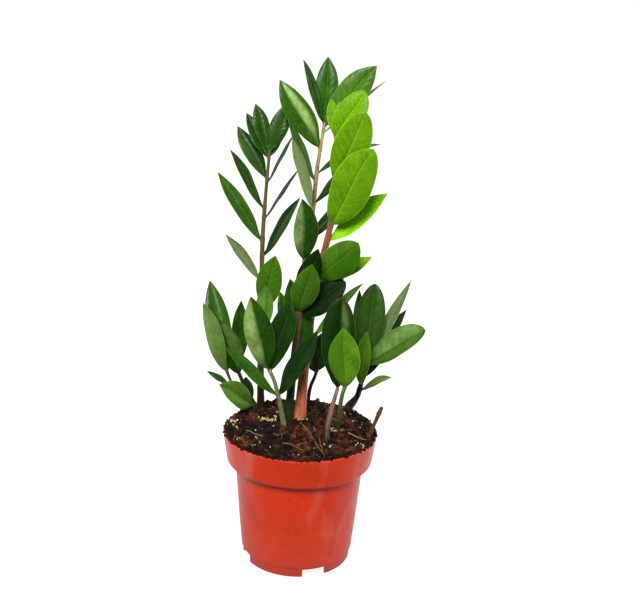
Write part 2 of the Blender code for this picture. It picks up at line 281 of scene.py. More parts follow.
pot_plastic, tree, shader = new_material("pot_plastic", {"IOR": 1.46, "Specular IOR Level": 0.42})
place = put(tree, "TexCoord").outputs["Object"]
cloud = noise_of(tree, place, 28, 3)
body = steps_of(tree, cloud, ((0.3, (0.50, 0.024, 0.002)), (0.7, (0.60, 0.032, 0.003))))
streaks = noise_of(tree, stretched(tree, place, (60, 60, 14)), 9, 6, 0.7)
dust = ranged(tree, streaks, 0.56, 0.8, 0, 0.35)
dusty = blend_colours(tree, dust, body, (0.56, 0.13, 0.08, 1))
level = put(tree, "SeparateXYZ", {"Vector": place}).outputs["Z"]
low_down = ranged(tree, level, 0.06, 0.0, 0, 0.55)
dusty = blend_colours(tree, low_down, dusty, (0.50, 0.048, 0.026, 1))
specks = put(tree, "TexVoronoi", {"Vector": place, "Scale": 420}).outputs["Distance"]
speck_size = ranged(tree, noise_of(tree, place, 35), 0.5, 0.75, 0, 0.16)
speckled = maths(tree, "GREATER_THAN", speck_size, specks)
speck_share = maths(tree, "MULTIPLY", speckled, 0.5)
flecked = blend_colours(tree, speck_share, dusty, (0.66, 0.30, 0.20, 1))
grime = ranged(tree, noise_of(tree, place, 190, 6, 0.75), 0.54, 0.74, 0, 0.55)
grimed = blend_colours(tree, grime, flecked, (0.30, 0.008, 0.002, 1))
smear = noise_of(tree, stretched(tree, place, (34, 34, 11)), 1, 5, warp=0.7)
scuff = ranged(tree, smear, 0.56, 0.76, 0, 0.42)
tree.links.new(blend_colours(tree, scuff, grimed, (0.60, 0.20, 0.13, 1)),
               shader.inputs["Base Color"])
tree.links.new(ranged(tree, streaks, 0.3, 0.8, 0.34, 0.52), shader.inputs["Roughness"])
height = maths(tree, "MULTIPLY_ADD", noise_of(tree, place, 45, 1), 6.0, noise_of(tree, place, 900))
relief(tree, shader.inputs["Normal"], height, 0.25, 0.00012)
pot.data.materials.append(pot_plastic)
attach(pot, "root")
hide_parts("pot")

# ---------------------------------------------------------------------------------------------
# The potting mix: damp peat and coir, filled to the lip and a little over it. Its skin is one
# lumpy disc with a skirt down inside the wall; the crumbs, bark, grit and fibres lie on it.

MIX_RADIUS = 0.0566
MIX_LEVEL = 0.1019
MIX_RINGS = 45
SKIRT_RADIUS = 0.0536
SKIRT_FOOT = 0.084
random.seed(41)


def mix_height(x, y):
    """How far the surface stands over its level at a place measured from the pot's axis."""
    spot = Vector((x, y, 0))
    lumps = noise.noise(spot * 75) * 0.0030 + noise.noise(spot * 190) * 0.0022
    crumble = noise.noise(spot * 420) * 0.0009
    mound = 0.0016 * (1 - (spot.length / MIX_RADIUS) ** 2) + 0.0011 * max(0, y / MIX_RADIUS)
    edge = min(1, max(0, (MIX_RADIUS - spot.length) / 0.002))
    return (lumps + crumble + mound) * edge - 0.0006 * (1 - edge)


def loose_material(name, stops, scale, rough, depth=0.0004):
    """A matte crumbly finish: a ramp of colours over noise that also roughens the surface."""
    made, tree, shader = new_material(name, {"Roughness": rough, "Specular IOR Level": 0.16})
    place = put(tree, "TexCoord").outputs["Object"]
    cloud = noise_of(tree, place, scale, 6, 0.65)
    tree.links.new(steps_of(tree, cloud, stops), shader.inputs["Base Color"])
    relief(tree, shader.inputs["Normal"], noise_of(tree, place, 1400, 4), 0.8, depth)
    return made


peat = loose_material("dark_peat", (
    (0.34, (0.002, 0.0012, 0.0008)), (0.50, (0.010, 0.004, 0.0020)),
    (0.62, (0.040, 0.013, 0.005)), (0.76, (0.10, 0.034, 0.012))), 150, 0.9)
clods = loose_material("reddish_coir", (
    (0.32, (0.006, 0.002, 0.001)), (0.5, (0.070, 0.016, 0.006)),
    (0.68, (0.20, 0.055, 0.018))), 260, 0.92)
bark = loose_material("bark_chip", (
    (0.3, (0.025, 0.011, 0.005)), (0.6, (0.13, 0.052, 0.02)), (0.8, (0.27, 0.13, 0.055))), 320, 0.85)
grit = loose_material("perlite", (
    (0.3, (0.55, 0.50, 0.42)), (0.6, (0.85, 0.82, 0.76))), 500, 0.8, 0.0002)
husk = loose_material("seed_husk", (
    (0.3, (0.20, 0.13, 0.04)), (0.5, (0.50, 0.42, 0.13)), (0.66, (0.72, 0.64, 0.32))), 420, 0.7, 0.0002)
straw = loose_material("straw_fibre", (
    (0.3, (0.12, 0.055, 0.02)), (0.65, (0.34, 0.19, 0.08))), 260, 0.75, 0.0002)


def lay_in_pot(piece):
    """Makes a piece ride with the plant."""
    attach(piece, "root")


bpy.ops.object.select_all(action="DESELECT")
bpy.ops.mesh.primitive_circle_add(vertices=180, radius=SKIRT_RADIUS,
                                  location=pot_middle + Vector((0, 0, SKIRT_FOOT)))
mix = bpy.context.object
mix.name = "potting_mix"
bpy.ops.object.transform_apply(location=True, rotation=True, scale=True)
bpy.ops.object.mode_set(mode="EDIT")
bpy.ops.mesh.extrude_region_move(TRANSFORM_OT_translate={"value": (0, 0, MIX_LEVEL - SKIRT_FOOT)})
reach = SKIRT_RADIUS
for ring in range(MIX_RINGS + 1):
    goal = MIX_RADIUS - 0.0003 - (MIX_RADIUS - 0.002) * ring / MIX_RINGS
    bpy.ops.transform.resize(value=(goal / reach, goal / reach, 1), center_override=pot_middle)
    bpy.ops.mesh.extrude_region_move(TRANSFORM_OT_translate={"value": (0, 0, 0)})
    reach = goal
bpy.ops.mesh.merge(type="CENTER")
bpy.ops.object.mode_set(mode="OBJECT")
for vertex in mix.data.vertices:
    if vertex.co.z > MIX_LEVEL - 0.001:
        spot = vertex.co - pot_middle
        vertex.co.z += mix_height(spot.x, spot.y)
close_and_face_out()
bpy.ops.object.mode_set(mode="EDIT")
bpy.ops.mesh.select_all(action="DESELECT")
bpy.ops.mesh.select_non_manifold()
bpy.ops.mesh.edge_face_add()
bpy.ops.mesh.select_all(action="SELECT")
bpy.ops.mesh.normals_make_consistent(inside=False)
bpy.ops.object.mode_set(mode="OBJECT")
bpy.ops.object.shade_smooth_by_angle(angle=radians(60))
mix.data.materials.append(peat)
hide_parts("soil")
lay_in_pot(mix)


def on_the_mix(spread=1.0, kind=None, inner=0.0):
    """A place on the mix's surface. Bits of one kind lie in patches where the noise is high."""
    for attempt in range(40):
        turn = random.uniform(0, 2 * pi)
        out = MIX_RADIUS * (inner + (spread - inner) * random.random() ** (1 if inner else 0.5))
        x, y = out * cos(turn), out * sin(turn)
        if kind is None or noise.noise(Vector((x * 42, y * 42, kind))) > 0.04:
            break
    return Vector((x, y, MIX_LEVEL + mix_height(x, y))) + pot_middle


def scattered(name, finish, count, sizes, spread, flat=(1, 1, 1), rough=0.3, detail=1, sink=0.1,
              kind=None, inner=0.0):
    """Many broken bits of one kind, each an uneven ball squashed by flat, in one mesh."""
    bpy.ops.object.select_all(action="DESELECT")
    bpy.ops.mesh.primitive_ico_sphere_add(subdivisions=detail, radius=1)
    ball = bpy.context.object
    corners = np.array([vertex.co for vertex in ball.data.vertices])
    sides = np.array([polygon.vertices for polygon in ball.data.polygons])
    bpy.data.objects.remove(ball)
    points, faces = [], []
    for index in range(count):
        size = random.uniform(*sizes) * random.uniform(0.7, 1.1)
        dents = np.array([random.uniform(1 - rough, 1 + rough) for _ in corners])
        squash = np.array([part * random.uniform(0.75, 1.25) for part in flat])
        turned = Matrix.Rotation(random.uniform(0, 2 * pi), 3, "Z") @ Matrix.Rotation(
            random.uniform(-0.6, 0.6), 3, "X") @ Matrix.Rotation(random.uniform(-0.6, 0.6), 3, "Y")
        bit = (corners * dents[:, None] * squash * size) @ np.array(turned).T
        at = on_the_mix(spread, kind, inner) + Vector((0, 0, size * flat[2] * (1 - sink) * 0.5))
        points.append(bit + np.array(at))
        faces.append(sides + index * len(corners))
    mesh = bpy.data.meshes.new(name)
    mesh.from_pydata(np.concatenate(points).tolist(), [], np.concatenate(faces).tolist())
    piece = bpy.data.objects.new(name, mesh)
    bpy.context.scene.collection.objects.link(piece)
    mesh.materials.append(finish)
    lay_in_pot(piece)


scattered("peat_crumbs", peat, 3000, (0.0005, 0.0014), 1.02)
scattered("coir_crumbs", clods, 1500, (0.0004, 0.0010), 1.02, kind=1.5)
scattered("peat_clods", peat, 210, (0.0013, 0.0028), 0.98, rough=0.26, detail=2)
scattered("coir_clods", clods, 150, (0.0012, 0.0026), 0.96, rough=0.26, detail=2, kind=1.5)
scattered("coir_lumps", clods, 40, (0.0024, 0.0050), 0.92, flat=(1.0, 0.9, 0.7), rough=0.22, detail=2,
          sink=0.9, kind=1.5)
scattered("peat_lumps", peat, 30, (0.0024, 0.0046), 0.94, flat=(1.0, 0.9, 0.7), rough=0.24, detail=2,
          sink=0.9)
scattered("bark_chips", bark, 80, (0.0015, 0.0034), 0.99, flat=(1.0, 0.5, 0.22), rough=0.22, sink=-0.4)
scattered("rim_crumbs", peat, 420, (0.0006, 0.0013), 1.035, sink=-0.2, inner=0.965)
scattered("perlite_dust", grit, 90, (0.0002, 0.0005), 1.0, rough=0.25, sink=-2)
scattered("perlite_grains", grit, 34, (0.0006, 0.0015), 0.95, flat=(1.0, 0.8, 0.6), rough=0.25,
          sink=-1.2)
scattered("seed_husks", husk, 60, (0.0008, 0.0026), 0.97, flat=(1.0, 0.55, 0.2), rough=0.25, sink=-1.5,
          kind=7.5)


def thread(name, finish, route, thickness, slot="soil", sides=2):
    """A thin round strand along a route, as a mesh."""
    bpy.ops.object.select_all(action="DESELECT")
    bpy.ops.curve.primitive_nurbs_path_add()
    strand = bpy.context.object
    strand.name = name
    strand.location = (0, 0, 0)
    strand.data.splines.clear()
    line = strand.data.splines.new("POLY")
    line.points.add(len(route) - 1)
    for point, at in zip(line.points, route):
        point.co = (*at[:3], 1)
        point.radius = at[3] if len(at) > 3 else 1
    strand.data.bevel_depth = thickness
    strand.data.bevel_resolution = sides
    strand.data.use_fill_caps = True
    bpy.ops.object.convert(target="MESH")
    strand = bpy.context.object
    bpy.ops.object.mode_set(mode="EDIT")
    bpy.ops.mesh.select_all(action="SELECT")
    bpy.ops.mesh.remove_doubles(threshold=0.000001)
    bpy.ops.mesh.normals_make_consistent(inside=False)
    bpy.ops.object.mode_set(mode="OBJECT")
    bpy.ops.object.shade_smooth_by_angle(angle=radians(60))
    strand.data.materials.append(finish)
    return strand


def joined(name, pieces):
    """Many strands made one piece."""
    bpy.ops.object.select_all(action="DESELECT")
    for piece in pieces:
        piece.select_set(True)
    bpy.context.view_layer.objects.active = pieces[0]
    bpy.ops.object.join()
    pieces[0].name = name
    return pieces[0]


fibres = []
for index in range(70):
    start = on_the_mix(0.97)
    heading = random.uniform(0, 2 * pi)
    length = random.uniform(0.004, 0.013)
    route = []
    for step in range(6):
        along = step / 5
        heading += random.uniform(-0.35, 0.35)
        start = start + Vector((cos(heading), sin(heading), 0)) * length / 5
        spot = start - pot_middle
        if spot.xy.length > MIX_RADIUS:
            break
        level = MIX_LEVEL + mix_height(spot.x, spot.y)
        route.append((start.x, start.y, level + 0.0009 + 0.0016 * along * random.random(),
                      1 - 0.5 * along))
    if len(route) > 2:
        fibres.append(thread("fibre", straw if index % 3 else bark, route,
                             random.uniform(0.00010, 0.00024), sides=0))
lay_in_pot(joined("coir_fibres", fibres))

STALKS = (((-0.0005, 0.003), (0.0190, -0.0525), 0.00036), ((0.010, -0.005), (0.0185, -0.048), 0.0003),
          ((0.036, -0.014), (0.050, -0.024), 0.0005), ((-0.040, -0.016), (-0.026, -0.024), 0.00035),
          ((-0.012, -0.036), (0.004, -0.046), 0.00028), ((0.020, 0.016), (0.034, 0.004), 0.0003))
stalks = []
for (x0, y0), (x1, y1), thickness in STALKS:
    route = []
    for step in range(13):
        along = step / 12
        x = x0 + (x1 - x0) * along + 0.0008 * sin(along * 5)
        y = y0 + (y1 - y0) * along
        route.append((pot_middle.x + x, pot_middle.y + y,
                      MIX_LEVEL + mix_height(x, y) * 0.4 + 0.0034, 1.0 - 0.35 * along))
    stalks.append(thread("stalk", straw, route, thickness, sides=1))
lay_in_pot(joined("straw_stalks", stalks))

# Curled husks: thin papery rings and shells of old seed coats, pale yellow-green.

CURLS = ((0.0270, -0.0062, 0.0034), (-0.0510, 0.0068, 0.0026), (-0.0275, 0.0074, 0.0022),
         (-0.0235, 0.0058, 0.0018), (0.0440, -0.0300, 0.0030), (0.0030, 0.0090, 0.0018))
curls = []
for number, (x, y, size) in enumerate(CURLS):
    route = []
    for step in range(15):
        turn = number + 5.4 * step / 14
        route.append((pot_middle.x + x + size * cos(turn), pot_middle.y + y + size * 0.8 * sin(turn),
                      MIX_LEVEL + mix_height(x, y) + 0.0017 + 0.0007 * sin(3 * turn),
                      0.6 + 0.6 * sin(pi * step / 14)))
    curls.append(thread("curl", husk, route, 0.00062, sides=1))
lay_in_pot(joined("husk_curls", curls))

# The dead twig: a dry brown stub of an old shoot, standing in the mix at the right of the pot.

twig_low, twig_high = (Vector(corner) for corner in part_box("dead_twig"))
twig_route = []
for step in range(13):
    along = step / 12
    sway = 0.0006 * sin(along * 9)
    twig_route.append((twig_low.x + 0.002 + (twig_high.x - twig_low.x - 0.0039) * along ** 1.3,
                       (twig_low.y + twig_high.y) / 2 + sway,
                       MIX_LEVEL - 0.006 + (twig_high.z - MIX_LEVEL + 0.0065) * along,
                       1.0 + 0.22 * sin(along * 17) * along - 0.1 * along))
twig = thread("dead_twig_bark", bark, twig_route, 0.00165, sides=4)
for vertex in twig.data.vertices:
    vertex.co += vertex.normal * noise.noise(vertex.co * 900) * 0.0004
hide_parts("dead_twig")
lay_in_pot(twig)

# ---------------------------------------------------------------------------------------------
# The stems: fleshy upright stalks, thick at the foot and thin at the tip, with a faint collar
# where each leaf joins. Most are olive and brown; the lime shoot's is salmon orange at its foot.


def section(node, level):
    """The middle and the radius of a stem's solid where a level plane cuts it."""
    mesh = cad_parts[node].data
    if node not in section.cuts:
        points = np.array([vertex.co for vertex in mesh.vertices])
        section.cuts[node] = points[np.array([p.vertices for p in mesh.polygons])]
    corners = section.cuts[node]
    found = []
    for first, second in ((0, 1), (1, 2), (2, 0)):
        start, end = corners[:, first], corners[:, second]
        across = (start[:, 2] - level) * (end[:, 2] - level) < 0
        share = (level - start[across, 2]) / (end[across, 2] - start[across, 2])
        found.append(start[across] + (end[across] - start[across]) * share[:, None])
    found = np.concatenate(found)
    low, high = found.min(axis=0), found.max(axis=0)
    return Vector((low + high) / 2), float(min(high[0] - low[0], high[1] - low[1])) / 2


section.cuts = {}

FALL_OFF = 2.718
STEM_STEPS = {
    "tall_left": 60, "tall_back": 64, "lime": 64, "front": 22, "left_outer": 20, "left_inner": 20,
    "right_brown": 20, "right_green": 20, "right_dark": 22, "centre_back": 18,
}
STEM_COLOURS = {
    "tall_left": ((0.0, (0.035, 0.012, 0.007)), (0.10, (0.05, 0.024, 0.010)),
                  (0.35, (0.12, 0.078, 0.024)), (1.0, (0.13, 0.10, 0.03))),
    "tall_back": ((0.0, (0.012, 0.03, 0.008)), (0.16, (0.018, 0.035, 0.01)),
                  (0.45, (0.16, 0.10, 0.035)), (1.0, (0.34, 0.27, 0.09))),
    "lime": ((0.0, (0.50, 0.24, 0.13)), (0.03, (0.50, 0.15, 0.07)), (0.28, (0.46, 0.105, 0.045)),
             (0.6, (0.30, 0.08, 0.035)), (1.0, (0.25, 0.16, 0.04))),
    "front": ((0.0, (0.20, 0.22, 0.07)), (0.6, (0.22, 0.22, 0.08)), (1.0, (0.34, 0.27, 0.12))),
    "left_outer": ((0.0, (0.03, 0.02, 0.012)), (1.0, (0.08, 0.06, 0.03))),
    "left_inner": ((0.0, (0.015, 0.010, 0.006)), (1.0, (0.04, 0.05, 0.02))),
    "right_brown": ((0.0, (0.020, 0.012, 0.007)), (0.3, (0.05, 0.026, 0.014)),
                    (0.55, (0.17, 0.085, 0.04)), (1.0, (0.24, 0.11, 0.06))),
    "right_green": ((0.0, (0.02, 0.025, 0.01)), (0.4, (0.06, 0.075, 0.025)), (1.0, (0.14, 0.20, 0.05))),
    "right_dark": ((0.0, (0.035, 0.020, 0.012)), (0.2, (0.022, 0.013, 0.008)),
                   (1.0, (0.018, 0.017, 0.009))),
    "centre_back": ((0.0, (0.03, 0.02, 0.012)), (1.0, (0.045, 0.035, 0.02))),
}


def stem_finish(name, low, high):
    """Waxy skin: the stem's own colours from foot to tip, fine lengthwise lines and dark flecks."""
    made, tree, shader = new_material("skin_" + name, {
        "Roughness": 0.42, "IOR": 1.45, "Specular IOR Level": 0.28})
    place = put(tree, "TexCoord").outputs["Object"]
    height = put(tree, "SeparateXYZ", {"Vector": place}).outputs["Z"]
    base = steps_of(tree, ranged(tree, height, low, high), STEM_COLOURS[name])
    lines = noise_of(tree, stretched(tree, place, (900, 900, 70)), 1, 4)
    shade = steps_of(tree, lines, ((0.35, (0.62, 0.60, 0.58)), (0.6, (1.0, 1.0, 1.0)),
                                   (0.75, (1.25, 1.22, 1.18))))
    lined = blend_colours(tree, 1.0, base, shade, "MULTIPLY")
    flecks = noise_of(tree, stretched(tree, place, (700, 700, 260)), 1)
    share = ranged(tree, flecks, 0.58, 0.68, 0, 0.55)
    tree.links.new(blend_colours(tree, share, lined, (0.03, 0.018, 0.01, 1)),
                   shader.inputs["Base Color"])
    relief(tree, shader.inputs["Normal"], lines, 0.35, 0.0003)
    return made


leaf_nodes = {name: sorted(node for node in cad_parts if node.startswith("leaf_" + name))
              for name in STEM_STEPS}
stem_tops = {}
for name, steps in STEM_STEPS.items():
    node = "stem_" + name
    low, high = (Vector(corner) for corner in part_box(node))
    top = high.z - 0.0007
    foot = MIX_LEVEL - 0.004
    stem_tops[name] = top
    joints = []
    for leaf in leaf_nodes[name]:
        corner_low, corner_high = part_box(leaf)
        joints.append(corner_low[2] + 0.0005)
    route = []
    for step in range(steps + 1):
        level = foot + (top - foot) * step / steps
        middle, thick = section(node, level)
        collar = sum(0.16 * FALL_OFF ** (-((level - joint) / 0.0022) ** 2) for joint in joints)
        swell = 0.28 * FALL_OFF ** (-max(0, level - MIX_LEVEL) / 0.006)
        if name == "lime":
            swell += 0.10 * FALL_OFF ** (-max(0, level - MIX_LEVEL) / 0.045)
        route.append((*middle, thick * (1 + min(collar, 0.2) + swell) * 1000))
    stem = thread("stalk_" + name, stem_finish(name, MIX_LEVEL, top), route, 0.001, sides=5)
    for vertex in stem.data.vertices:
        ripple = noise.noise(Vector((vertex.co.x * 700, vertex.co.y * 700, vertex.co.z * 90)))
        vertex.co += vertex.normal * ripple * 0.00010
    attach(stem, "root")
    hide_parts(node)

# ---------------------------------------------------------------------------------------------
# The leaves: thick waxy leaflets on a stub of a stalk, glossy above and paler and duller below.
# Each is one blade with a groove over its midrib, quilting between its side veins and a thin rim,
# with a pale line of painted rim light along it. Some halves carry painted sheen, some painted shade.

BLADE_ALONG = 46
BLADE_ACROSS = 20
SOLID_ROWS = 9
ROW_POINTS = 6


def leaf_skin_group():
    """Colour, roughness and relief of a leaf's face from its map: x along it, y across it."""
    group = bpy.data.node_groups.new("leaf_skin", "ShaderNodeTree")
    for name, kind, value in (
            ("Blade", "NodeSocketColor", (0.02, 0.09, 0.01, 1)),
            ("Shade", "NodeSocketColor", (0.01, 0.05, 0.01, 1)),
            ("Vein", "NodeSocketColor", (0.10, 0.25, 0.04, 1)),
            ("Rim Light", "NodeSocketColor", (0.20, 0.38, 0.05, 1)),
            ("Painted Sheen", "NodeSocketColor", (0.36, 0.55, 0.16, 1)),
            ("Rib Width", "NodeSocketFloat", 0.035), ("Vein Share", "NodeSocketFloat", 0.3),
            ("Gloss Low", "NodeSocketFloat", 0.2), ("Gloss High", "NodeSocketFloat", 0.4)):
        group.interface.new_socket(name, in_out="INPUT", socket_type=kind).default_value = value
    for name, kind in (("Color", "NodeSocketColor"), ("Roughness", "NodeSocketFloat"),
                       ("Normal", "NodeSocketVector")):
        group.interface.new_socket(name, in_out="OUTPUT", socket_type=kind)
    given = group.nodes.new("NodeGroupInput").outputs
    result = group.nodes.new("NodeGroupOutput")
    blade_map = put(group, "UVMap", uv_map="blade").outputs["UV"]
    parts = put(group, "SeparateXYZ", {"Vector": blade_map})
    along = parts.outputs["X"]
    signed = maths(group, "MULTIPLY_ADD", parts.outputs["Y"], 2.0, -1.0)
    across = maths(group, "ABSOLUTE", signed)
    place = put(group, "TexCoord").outputs["Object"]
    cloud = noise_of(group, place, 95, 4, 0.6)
    face = blend_colours(group, ranged(group, cloud, 0.35, 0.68), given["Shade"], given["Blade"])
    cells = noise_of(group, place, 520, 4, 0.7)
    mottle = steps_of(group, cells, ((0.34, (0.80, 0.82, 0.80)), (0.50, (1.0, 1.0, 1.0)),
                                     (0.66, (1.20, 1.16, 1.20))))
    face = blend_colours(group, 1.0, face, mottle, "MULTIPLY")
    slanted = maths(group, "MULTIPLY_ADD", across, -0.20, along)
    wander = maths(group, "MULTIPLY_ADD", cloud, 0.05, slanted)
    wave = maths(group, "SINE", maths(group, "MULTIPLY", wander, 62.0))
    side_vein = ranged(group, wave, 0.72, 1.0)
    faint = maths(group, "MULTIPLY", side_vein, ranged(group, across, 0.9, 0.25))
    share = maths(group, "MULTIPLY", faint, given["Vein Share"])
    veined = blend_colours(group, share, face, given["Vein"])
    narrow = maths(group, "MULTIPLY_ADD", along, -0.6, 1.15)
    rib_width = maths(group, "MULTIPLY", given["Rib Width"], narrow)
    rib = maths(group, "MULTIPLY", ranged(group, across, rib_width, 0.0), 0.85)
    ribbed = blend_colours(group, rib, veined, given["Vein"])
    # Painted rim light: a pale line along the edge, brighter than the blade, as if light caught it.
    rim_light = maths(group, "MULTIPLY", ranged(group, across, 0.945, 0.985), 0.8)
    with_rim_light = blend_colours(group, rim_light, ribbed, given["Rim Light"])
    # Painted sheen and painted shade: each point's share comes from the blade. Above zero, a pale
    # reflection colour is painted over the leaf in patches, with white dots in it. Below zero, the
    # darker shade colour is painted in.
    sheen_and_shade = put(group, "Attribute", attribute_name="sheen_and_shade").outputs["Fac"]
    sheen_noise = maths(group, "MULTIPLY_ADD", wave, 0.02, noise_of(group, place, 85, 5, 0.62))
    sheen_patches = ranged(group, sheen_noise, 0.37, 0.63, 0.42)
    with_painted_shade = blend_colours(group, ranged(group, sheen_and_shade, 0, -1), with_rim_light, given["Shade"])
    clear = ranged(group, sheen_and_shade, 0, 1)
    with_painted_sheen = blend_colours(group, maths(group, "MULTIPLY", clear, sheen_patches), with_painted_shade, given["Painted Sheen"])
    dots = put(group, "TexVoronoi", {"Vector": place, "Scale": 650}).outputs["Distance"]
    dot_size = maths(group, "MULTIPLY", ranged(group, cloud, 0.50, 0.66, 0, 0.17), clear)
    dotted = maths(group, "GREATER_THAN", dot_size, dots)
    dot_share = maths(group, "MULTIPLY", dotted, 0.75)
    group.links.new(blend_colours(group, dot_share, with_painted_sheen, (0.62, 0.68, 0.50, 1)),
                    result.inputs["Color"])
    rough = ranged(group, noise_of(group, place, 260, 3), 0.3, 0.7,
                   given["Gloss Low"], given["Gloss High"])
    group.links.new(rough, result.inputs["Roughness"])
    height = maths(group, "MULTIPLY_ADD", wave, 0.9, noise_of(group, place, 1500))
    relief(group, result.inputs["Normal"], height, 0.14, 0.00012)
    return group


leaf_skin = leaf_skin_group()

# Blade and shade colours, the range of roughness, and how plain the side veins are.

LEAF_TONES = {
    "inky": ((0.006, 0.022, 0.0012), (0.002, 0.009, 0.0006), 0.48, 0.62, 0.06),
    "deep": ((0.009, 0.038, 0.0018), (0.004, 0.019, 0.0010), 0.28, 0.40, 0.08),
    "dark": ((0.016, 0.066, 0.0022), (0.007, 0.035, 0.0012), 0.27, 0.39, 0.10),
    "green": ((0.031, 0.104, 0.0030), (0.016, 0.064, 0.0020), 0.27, 0.40, 0.12),
    "mid": ((0.052, 0.150, 0.0045), (0.030, 0.100, 0.0030), 0.24, 0.38, 0.15),
    "bright": ((0.086, 0.215, 0.0070), (0.050, 0.145, 0.0045), 0.26, 0.40, 0.20),
    "olive": ((0.095, 0.180, 0.0280), (0.060, 0.120, 0.0150), 0.34, 0.50, 0.14),
    "grass": ((0.056, 0.165, 0.0016), (0.028, 0.100, 0.0010), 0.26, 0.42, 0.20),
    "lime": ((0.130, 0.305, 0.0024), (0.080, 0.215, 0.0015), 0.28, 0.44, 0.20),
    "yellow": ((0.165, 0.340, 0.0025), (0.110, 0.250, 0.0018), 0.30, 0.46, 0.20),
    # The brightest lime tone is painted light: a leaf painted as if lit through from behind.
    "glow": ((0.245, 0.590, 0.0040), (0.150, 0.430, 0.0030), 0.30, 0.46, 0.12),
    "pale": ((0.125, 0.180, 0.0600), (0.080, 0.125, 0.0360), 0.36, 0.52, 0.14),
}
LOW_SHEENS = {"inky": 0.08, "lime": 0.10, "yellow": 0.08, "glow": 0.10}
PLAIN_SHEEN = 0.15
leaf_finishes = {}


def leaf_finish(tone):
    """The upper and lower finishes of a leaf of one tone."""
    if tone not in leaf_finishes:
        blade, shade, gloss_low, gloss_high, veins = LEAF_TONES[tone]
        sheen = LOW_SHEENS.get(tone, PLAIN_SHEEN)
        vein = tuple(part * 2.0 + more for part, more in zip(blade, (0.020, 0.034, 0.004)))
        # The rim colour is painted rim light, paler and yellower than the blade.
        rim_light = (blade[0] * 3.1 + 0.03, blade[1] * 2.2 + 0.05, blade[2] * 2.4 + 0.008)
        below = tuple(part * 1.5 + more for part, more in zip(blade, (0.055, 0.085, 0.028)))
        darker = tuple(part * 0.72 for part in below)
        lighter = tuple(part * 1.3 for part in below)
        pair = []
        for side, values in (
                ("upper", (blade, shade, vein, rim_light, gloss_low, gloss_high, 0.045)),
                ("lower", (below, darker, lighter, lighter, 0.42, 0.58, 0.07))):
            made, tree, shader = new_material(f"leaf_{tone}_{side}", {
                "IOR": 1.46, "Specular IOR Level": sheen})
            skin = tree.nodes.new("ShaderNodeGroup")
            skin.node_tree = leaf_skin
            for socket, colour in zip(("Blade", "Shade", "Vein", "Rim Light"), values):
                skin.inputs[socket].default_value = (*colour, 1)
            for socket, value in zip(("Gloss Low", "Gloss High", "Rib Width"), values[4:]):
                skin.inputs[socket].default_value = value
            skin.inputs["Vein Share"].default_value = veins
            for given, taken in (("Color", "Base Color"), ("Roughness", "Roughness"),
                                 ("Normal", "Normal")):
                tree.links.new(skin.outputs[given], shader.inputs[taken])
            pair.append(made)
        leaf_finishes[tone] = pair
    return leaf_finishes[tone]


def leaf_solid(node):
    """Where a leaf's plain solid lies, and its half width, arch, fold and bluntness. The solid has
    nine rows of six points from stalk end to tip, and a row's middle two lie on the midrib."""
    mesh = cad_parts[node].data
    points = np.unique(np.round([vertex.co for vertex in mesh.vertices], 6), axis=0)
    middle = points.mean(axis=0)
    spread = points - middle
    chord = np.linalg.eigh(spread.T @ spread)[1][:, 2]
    rows = points[np.argsort(spread @ chord)].reshape(SOLID_ROWS, ROW_POINTS, 3)
    if np.ptp(rows[0], axis=0).max() < np.ptp(rows[-1], axis=0).max():
        rows = rows[::-1]
    centre_row = rows[4] - rows[4].mean(axis=0)
    across = np.linalg.svd(centre_row)[2][0]
    ribs, edges, halves = [], [], []
    for row in rows:
        order = row[np.argsort(row @ across)]
        ribs.append(order[2:4].mean(axis=0))
        edges.append((order[:2].mean(axis=0) + order[4:].mean(axis=0)) / 2)
        halves.append(np.linalg.norm(order[4:].mean(axis=0) - order[:2].mean(axis=0)) / 2)
    along = ribs[-1] - ribs[0]
    along = along / np.linalg.norm(along)
    upper = np.cross(across, along)
    upper = upper / np.linalg.norm(upper)
    lift = (edges[4] - ribs[4]) @ upper
    if lift < 0:
        upper, lift = -upper, -lift
    rise = (ribs[4] - (ribs[0] + ribs[-1]) / 2) @ upper
    fold = atan2(lift, halves[4])
    full = halves[4] / cos(fold)
    blunt = 0.8 - 1.29 * (halves[7] / halves[4] - 0.467)
    return {"stalk": Vector(ribs[0]), "tip": Vector(ribs[-1]), "upper": Vector(upper),
            "half": full, "rise": rise, "fold": fold, "blunt": blunt}


